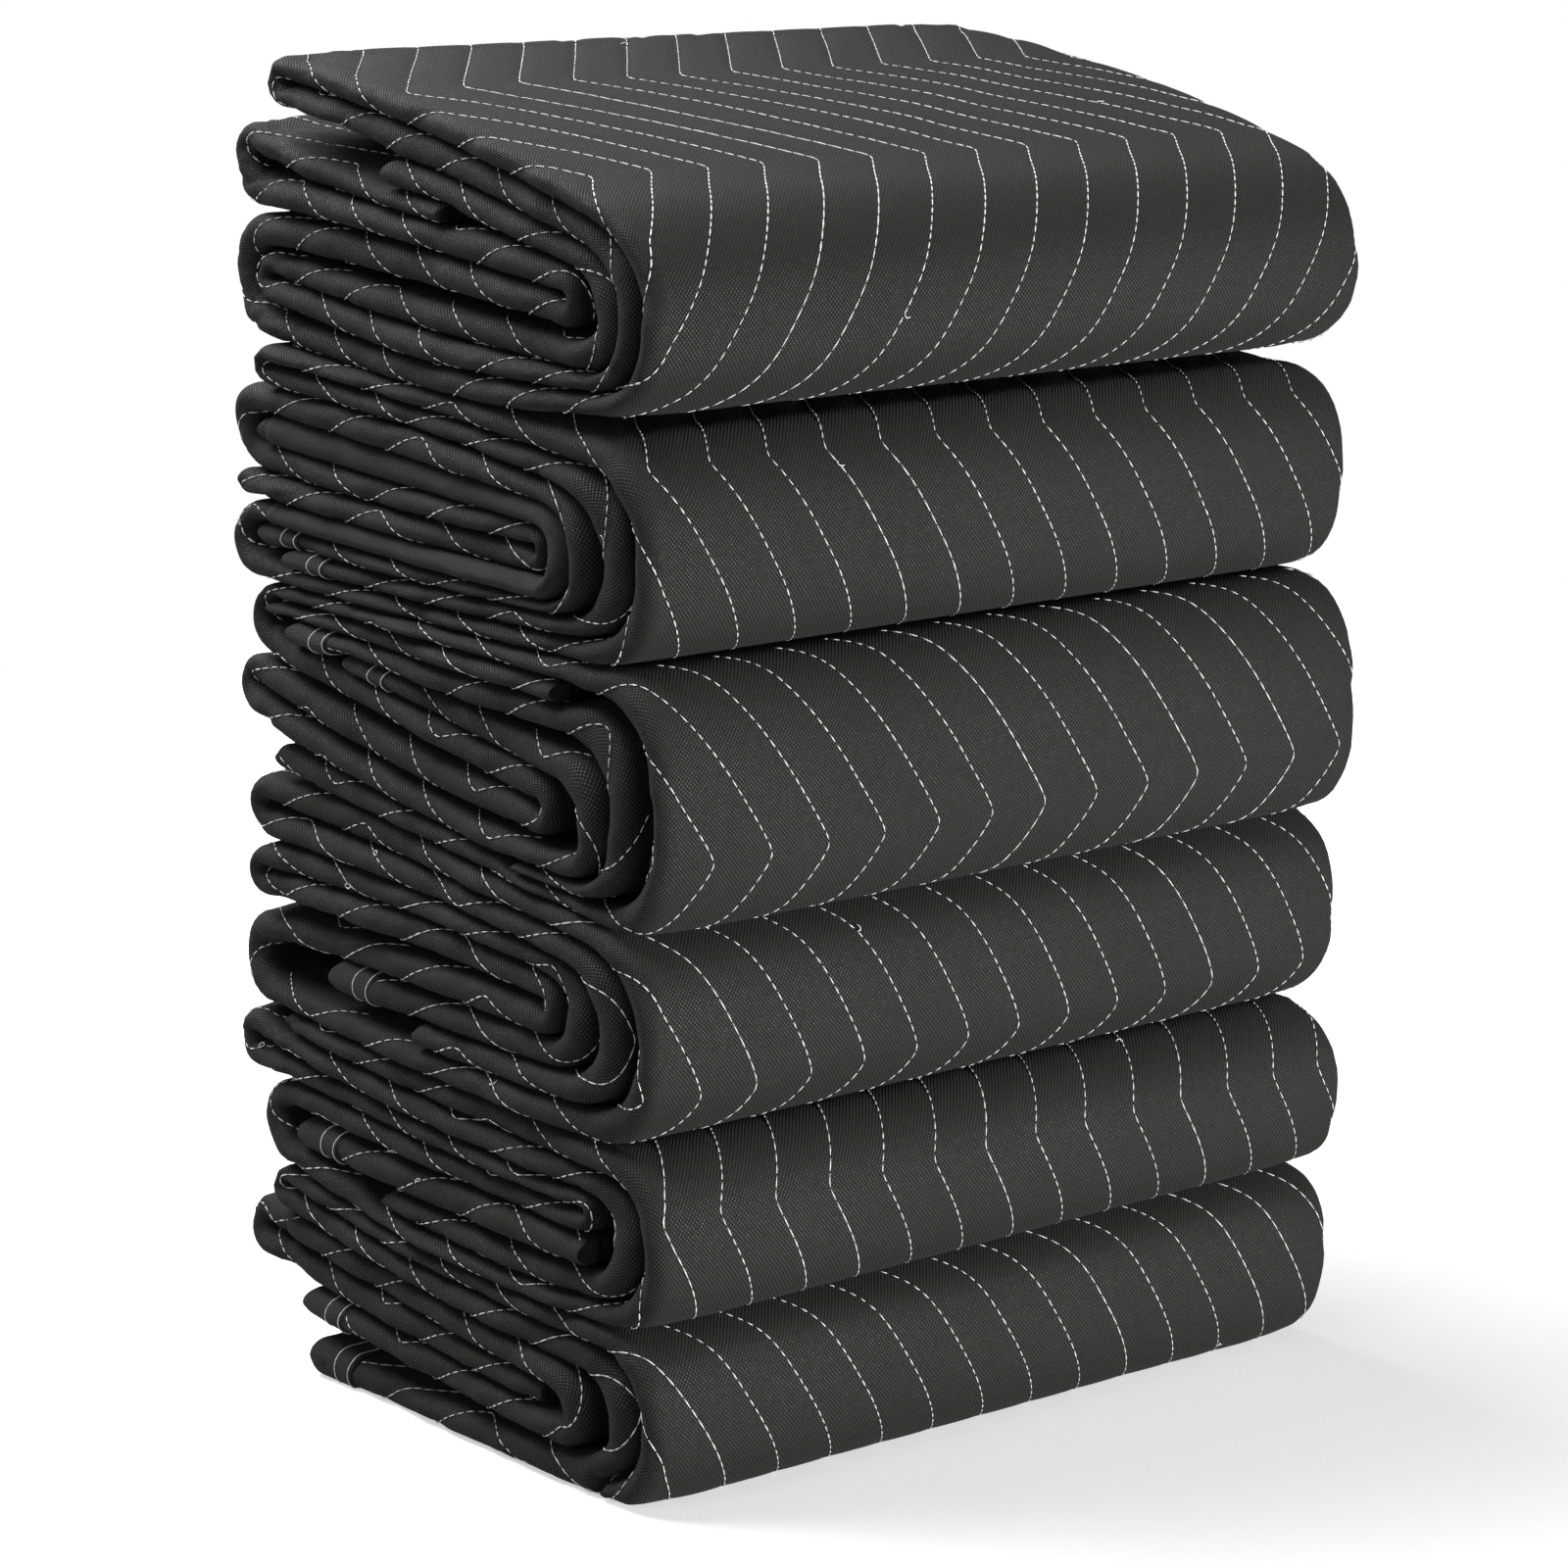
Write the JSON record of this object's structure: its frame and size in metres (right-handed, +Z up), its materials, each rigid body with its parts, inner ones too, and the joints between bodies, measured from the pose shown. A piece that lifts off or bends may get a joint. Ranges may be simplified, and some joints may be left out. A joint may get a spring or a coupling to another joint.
{
  "type": "stack of folded moving blankets",
  "caption": "Stack of black quilted moving blankets with zigzag stitching, each folded back and forth with its smooth folds at the front and its layers showing at the ends.",
  "frame": {"origin": "middle of the stack's footprint, on the surface that it stands on", "axes": "+X runs along the smooth outer folds, away from the layered end that the picture shows; -Y is the side of the smooth outer folds; +Z is up"},
  "size_m": [0.508, 0.4129, 0.7661],
  "materials": {
    "cloth": "matt quilted woven cloth, black",
    "tape": "smooth woven binding tape, charcoal"
  },
  "bodies": {
    "root": {"blanket_1": "cloth", "blanket_2": "cloth", "blanket_3": "cloth", "blanket_4": "cloth", "blanket_5": "cloth", "blanket_6": "cloth", "binding_2a": "tape", "binding_2b": "tape", "binding_3a": "tape", "binding_3b": "tape", "binding_4a": "tape", "binding_5a": "tape", "binding_6a": "tape", "binding_6b": "tape"}
  },
  "joints": []
}
